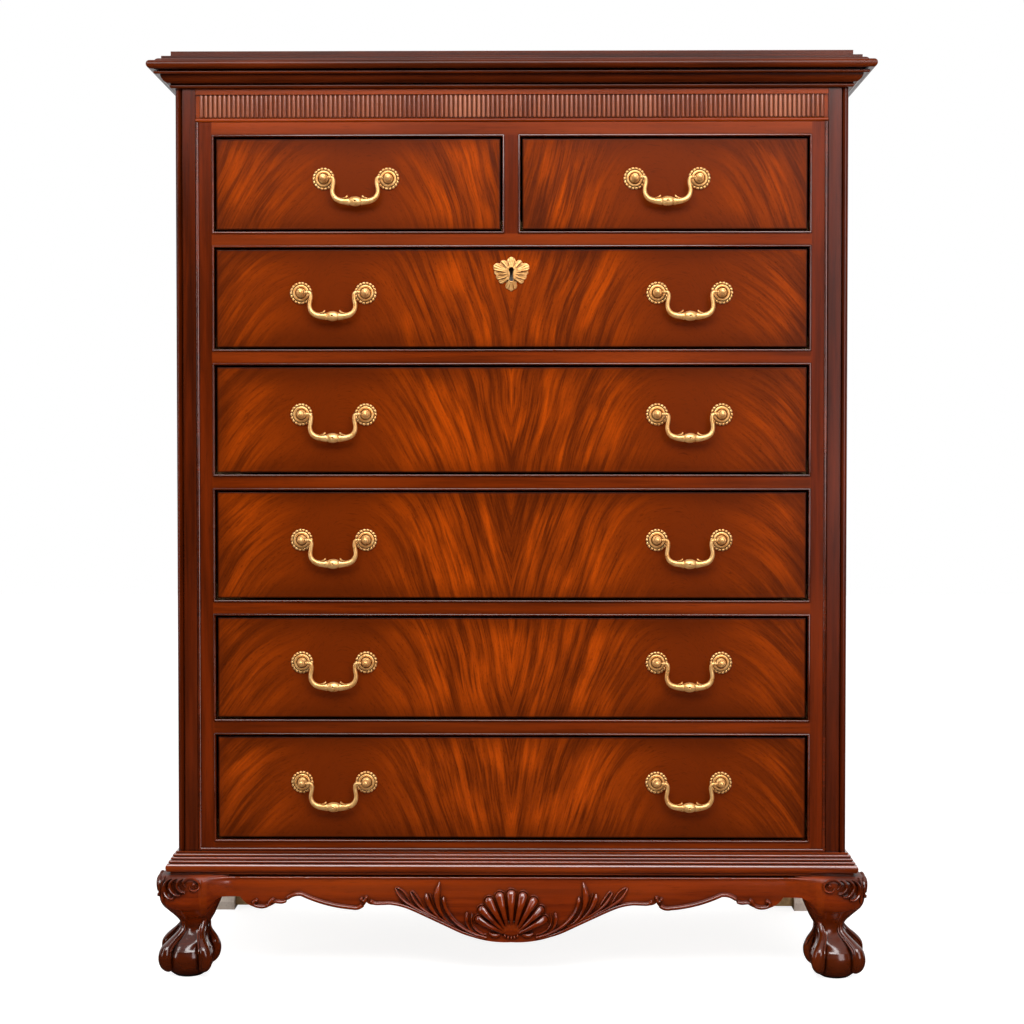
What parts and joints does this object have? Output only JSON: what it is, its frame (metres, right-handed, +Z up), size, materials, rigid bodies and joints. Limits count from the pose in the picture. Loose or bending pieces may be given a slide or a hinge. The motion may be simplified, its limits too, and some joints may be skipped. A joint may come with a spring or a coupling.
{
  "type": "tall chest of drawers",
  "caption": "Tall straight-front chest: short drawers over long ones, moulded cornice, reeded frieze, carved apron, ball-and-claw front legs and swan-neck bail handles.",
  "frame": {"origin": "on the floor under the middle of the overall box", "axes": "+Z up, -Y the way the front faces, +X to the right of someone facing the front"},
  "size_m": [1.072, 0.516, 1.38],
  "materials": {
    "case_mahogany": "polished red-brown mahogany",
    "moulding_mahogany": "polished dark mahogany",
    "carved_mahogany": "polished carved mahogany",
    "flame_mahogany": "polished flame-figured mahogany veneer",
    "drawer_lining": "sanded and lightly sealed",
    "secondary_wood": "bare",
    "back_board": "bare",
    "antique_brass": "polished and lacquered, dark in the recesses",
    "lock_steel": "brushed"
  },
  "bodies": {
    "carcass": {"side_panels": "case_mahogany", "corner_posts": "moulding_mahogany", "face_stiles": "case_mahogany", "drawer_rails": "case_mahogany", "centre_muntin": "case_mahogany", "frame_bead": "moulding_mahogany", "cock_beads": "moulding_mahogany", "frieze_board": "case_mahogany", "frieze_reeding": "carved_mahogany", "cornice_moulding": "moulding_mahogany", "top_board": "case_mahogany", "back_panel": "back_board", "bottom_board": "secondary_wood", "base_moulding": "moulding_mahogany", "drawer_runners": "secondary_wood", "dust_panels": "secondary_wood", "leg_front_left": "carved_mahogany", "leg_front_right": "carved_mahogany", "rear_feet": "case_mahogany", "side_aprons": "case_mahogany", "back_rail": "case_mahogany", "glue_blocks": "secondary_wood", "front_apron": "carved_mahogany", "apron_carving": "carved_mahogany"},
    "drawer_long_5": {"front_long_5": "flame_mahogany", "box_long_5": "drawer_lining", "posts_long_5": "antique_brass"},
    "bail_long_5_left": {"bail_long_5_left": "antique_brass"},
    "bail_long_5_right": {"bail_long_5_right": "antique_brass"},
    "drawer_long_4": {"front_long_4": "flame_mahogany", "box_long_4": "drawer_lining", "posts_long_4": "antique_brass"},
    "bail_long_4_left": {"bail_long_4_left": "antique_brass"},
    "bail_long_4_right": {"bail_long_4_right": "antique_brass"},
    "drawer_long_3": {"front_long_3": "flame_mahogany", "box_long_3": "drawer_lining", "posts_long_3": "antique_brass"},
    "bail_long_3_left": {"bail_long_3_left": "antique_brass"},
    "bail_long_3_right": {"bail_long_3_right": "antique_brass"},
    "drawer_long_2": {"front_long_2": "flame_mahogany", "box_long_2": "drawer_lining", "posts_long_2": "antique_brass"},
    "bail_long_2_left": {"bail_long_2_left": "antique_brass"},
    "bail_long_2_right": {"bail_long_2_right": "antique_brass"},
    "drawer_long_1": {"front_long_1": "flame_mahogany", "box_long_1": "drawer_lining", "posts_long_1": "antique_brass", "escutcheon": "antique_brass", "lock_case": "lock_steel"},
    "bail_long_1_left": {"bail_long_1_left": "antique_brass"},
    "bail_long_1_right": {"bail_long_1_right": "antique_brass"},
    "drawer_short_left": {"front_short_left": "flame_mahogany", "box_short_left": "drawer_lining", "posts_short_left": "antique_brass"},
    "bail_short_left": {"bail_short_left": "antique_brass"},
    "drawer_short_right": {"front_short_right": "flame_mahogany", "box_short_right": "drawer_lining", "posts_short_right": "antique_brass"},
    "bail_short_right": {"bail_short_right": "antique_brass"},
    "lock_bolt": {"lock_bolt": "lock_steel"}
  },
  "joints": [
    {"name": "slide_long_5", "type": "slide", "parent": "carcass", "child": "drawer_long_5", "axis": [0, -1, 0], "range_m": [0, 0.36]},
    {"name": "swing_long_5_left", "type": "hinge", "parent": "drawer_long_5", "child": "bail_long_5_left", "pos_m": [-0.265, -0.236, 0.29235], "axis": [-1, 0, 0], "range_deg": [-12, 190]},
    {"name": "swing_long_5_right", "type": "hinge", "parent": "drawer_long_5", "child": "bail_long_5_right", "pos_m": [0.265, -0.236, 0.29235], "axis": [-1, 0, 0], "range_deg": [-12, 190]},
    {"name": "slide_long_4", "type": "slide", "parent": "carcass", "child": "drawer_long_4", "axis": [0, -1, 0], "range_m": [0, 0.36]},
    {"name": "swing_long_4_left", "type": "hinge", "parent": "drawer_long_4", "child": "bail_long_4_left", "pos_m": [-0.265, -0.236, 0.47213], "axis": [-1, 0, 0], "range_deg": [-12, 190]},
    {"name": "swing_long_4_right", "type": "hinge", "parent": "drawer_long_4", "child": "bail_long_4_right", "pos_m": [0.265, -0.236, 0.47213], "axis": [-1, 0, 0], "range_deg": [-12, 190]},
    {"name": "slide_long_3", "type": "slide", "parent": "carcass", "child": "drawer_long_3", "axis": [0, -1, 0], "range_m": [0, 0.36]},
    {"name": "swing_long_3_left", "type": "hinge", "parent": "drawer_long_3", "child": "bail_long_3_left", "pos_m": [-0.265, -0.236, 0.65541], "axis": [-1, 0, 0], "range_deg": [-12, 190]},
    {"name": "swing_long_3_right", "type": "hinge", "parent": "drawer_long_3", "child": "bail_long_3_right", "pos_m": [0.265, -0.236, 0.65541], "axis": [-1, 0, 0], "range_deg": [-12, 190]},
    {"name": "slide_long_2", "type": "slide", "parent": "carcass", "child": "drawer_long_2", "axis": [0, -1, 0], "range_m": [0, 0.36]},
    {"name": "swing_long_2_left", "type": "hinge", "parent": "drawer_long_2", "child": "bail_long_2_left", "pos_m": [-0.265, -0.236, 0.84244], "axis": [-1, 0, 0], "range_deg": [-12, 190]},
    {"name": "swing_long_2_right", "type": "hinge", "parent": "drawer_long_2", "child": "bail_long_2_right", "pos_m": [0.265, -0.236, 0.84244], "axis": [-1, 0, 0], "range_deg": [-12, 190]},
    {"name": "slide_long_1", "type": "slide", "parent": "carcass", "child": "drawer_long_1", "axis": [0, -1, 0], "range_m": [0, 0.36]},
    {"name": "swing_long_1_left", "type": "hinge", "parent": "drawer_long_1", "child": "bail_long_1_left", "pos_m": [-0.265, -0.236, 1.02297], "axis": [-1, 0, 0], "range_deg": [-12, 190]},
    {"name": "swing_long_1_right", "type": "hinge", "parent": "drawer_long_1", "child": "bail_long_1_right", "pos_m": [0.265, -0.236, 1.02297], "axis": [-1, 0, 0], "range_deg": [-12, 190]},
    {"name": "slide_short_left", "type": "slide", "parent": "carcass", "child": "drawer_short_left", "axis": [0, -1, 0], "range_m": [0, 0.36]},
    {"name": "swing_short_left", "type": "hinge", "parent": "drawer_short_left", "child": "bail_short_left", "pos_m": [-0.231, -0.236, 1.1923], "axis": [-1, 0, 0], "range_deg": [-12, 190]},
    {"name": "slide_short_right", "type": "slide", "parent": "carcass", "child": "drawer_short_right", "axis": [0, -1, 0], "range_m": [0, 0.36]},
    {"name": "swing_short_right", "type": "hinge", "parent": "drawer_short_right", "child": "bail_short_right", "pos_m": [0.231, -0.236, 1.1923], "axis": [-1, 0, 0], "range_deg": [-12, 190]},
    {"name": "throw_lock_bolt", "type": "slide", "parent": "drawer_long_1", "child": "lock_bolt", "axis": [0, 0, 1], "range_m": [0, 0.011]}
  ]
}
